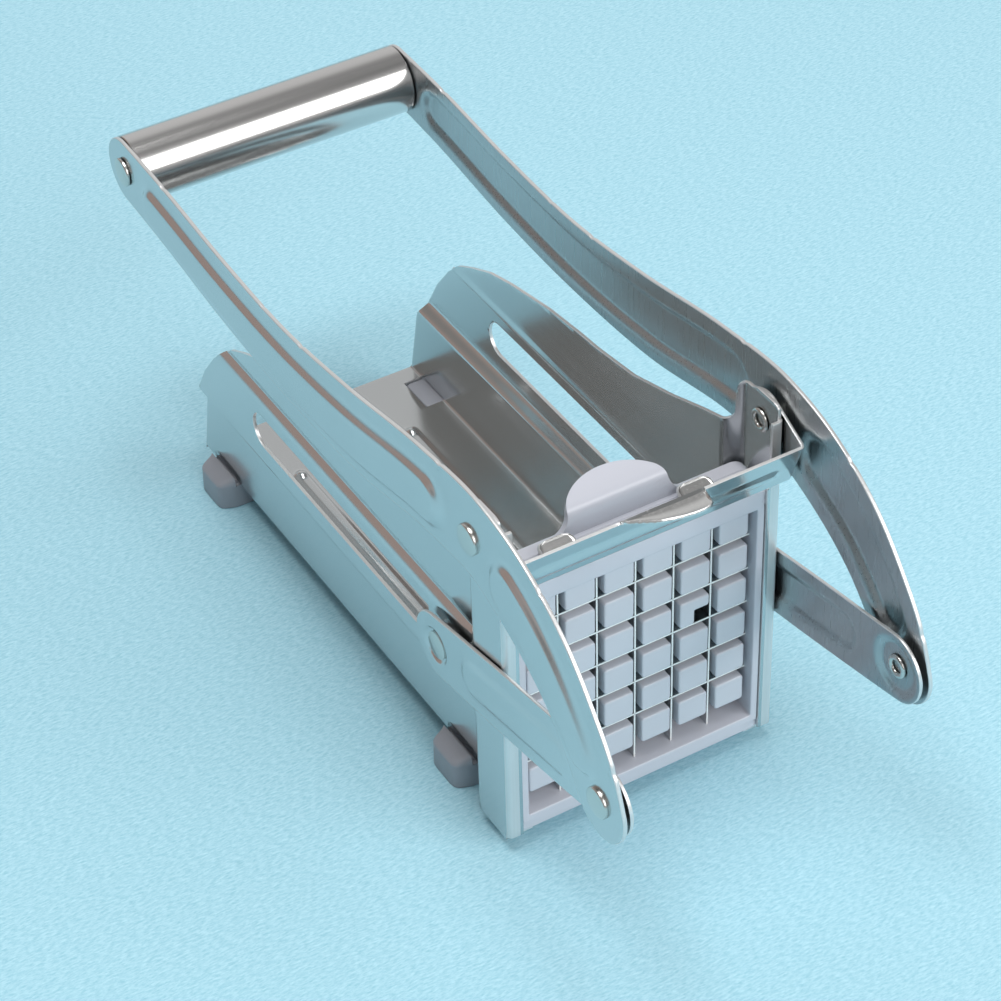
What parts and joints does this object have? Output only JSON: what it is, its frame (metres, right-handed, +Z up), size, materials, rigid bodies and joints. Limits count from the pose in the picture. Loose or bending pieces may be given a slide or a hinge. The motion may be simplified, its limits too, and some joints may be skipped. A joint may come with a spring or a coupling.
{
  "type": "french fry cutter",
  "caption": "Hand lever cutter: links pull a finger pusher along a sheet steel trough through a removable blade grid, held by a flip-up clasp.",
  "frame": {"origin": "centre of the bounding box on the table plane, under the feet's soles", "axes": "+Z up, +Y from the blade grid at the front to the grip at the rear, +X to the right seen from the front"},
  "size_m": [0.104, 0.2971, 0.1312],
  "materials": {
    "sheet_steel": "satin",
    "blade_steel": "ground",
    "rivet_steel": "bright",
    "grip_steel": "turned satin",
    "frame_plastic": "semi gloss",
    "finger_plastic": "semi gloss",
    "foot_plastic": "matt"
  },
  "bodies": {
    "body": {"trough": "sheet_steel", "foot_front_right": "foot_plastic", "foot_front_left": "foot_plastic", "foot_rear_right": "foot_plastic", "foot_rear_left": "foot_plastic", "cartridge_frame": "frame_plastic", "blade_upright_1": "blade_steel", "blade_upright_2": "blade_steel", "blade_upright_3": "blade_steel", "blade_upright_4": "blade_steel", "blade_upright_5": "blade_steel", "blade_level_1": "blade_steel", "blade_level_2": "blade_steel", "blade_level_3": "blade_steel", "blade_level_4": "blade_steel", "blade_level_5": "blade_steel", "pivot_rivet_right": "rivet_steel", "pivot_rivet_left": "rivet_steel"},
    "lever": {"lever_arm_right": "sheet_steel", "lever_arm_left": "sheet_steel", "grip_tube": "grip_steel", "grip_plug_right": "foot_plastic", "grip_plug_left": "foot_plastic", "grip_rod": "rivet_steel", "toe_rivet_right": "rivet_steel", "toe_rivet_left": "rivet_steel"},
    "pusher": {"pusher_head": "finger_plastic", "pusher_carriage": "sheet_steel", "head_screw_1": "rivet_steel", "head_screw_2": "rivet_steel", "head_screw_3": "rivet_steel", "head_screw_4": "rivet_steel", "slot_pin_right": "rivet_steel", "slot_pin_left": "rivet_steel", "slot_bush_right": "rivet_steel", "slot_bush_left": "rivet_steel"},
    "link_right": {"link_right": "sheet_steel", "slot_pin_head_right": "rivet_steel"},
    "link_left": {"link_left": "sheet_steel", "slot_pin_head_left": "rivet_steel"},
    "clasp": {"clasp": "sheet_steel"}
  },
  "joints": [
    {"name": "lever_pivot", "type": "hinge", "parent": "body", "child": "lever", "pos_m": [0, -0.07245, 0.1148], "axis": [1, 0, 0], "range_deg": [0, 90]},
    {"name": "pusher_slide", "type": "slide", "parent": "body", "child": "pusher", "axis": [0, 1, 0], "range_m": [0, 0.10957]},
    {"name": "link_right_toe", "type": "hinge", "parent": "lever", "child": "link_right", "pos_m": [0, -0.13655, 0.0709], "axis": [1, 0, 0], "range_deg": [-78, 0]},
    {"name": "link_left_toe", "type": "hinge", "parent": "lever", "child": "link_left", "pos_m": [0, -0.13655, 0.0709], "axis": [1, 0, 0], "range_deg": [-78, 0]},
    {"name": "clasp_pivot", "type": "hinge", "parent": "body", "child": "clasp", "pos_m": [0, -0.07245, 0.1148], "axis": [-1, 0, 0], "range_deg": [0, 80]}
  ],
  "couplings": [
    {"joint": "pusher_slide", "follows": "lever_pivot", "m_per_rad": 0.06975},
    {"joint": "link_right_toe", "follows": "lever_pivot", "ratio": -0.86045},
    {"joint": "link_left_toe", "follows": "lever_pivot", "ratio": -0.86045}
  ]
}
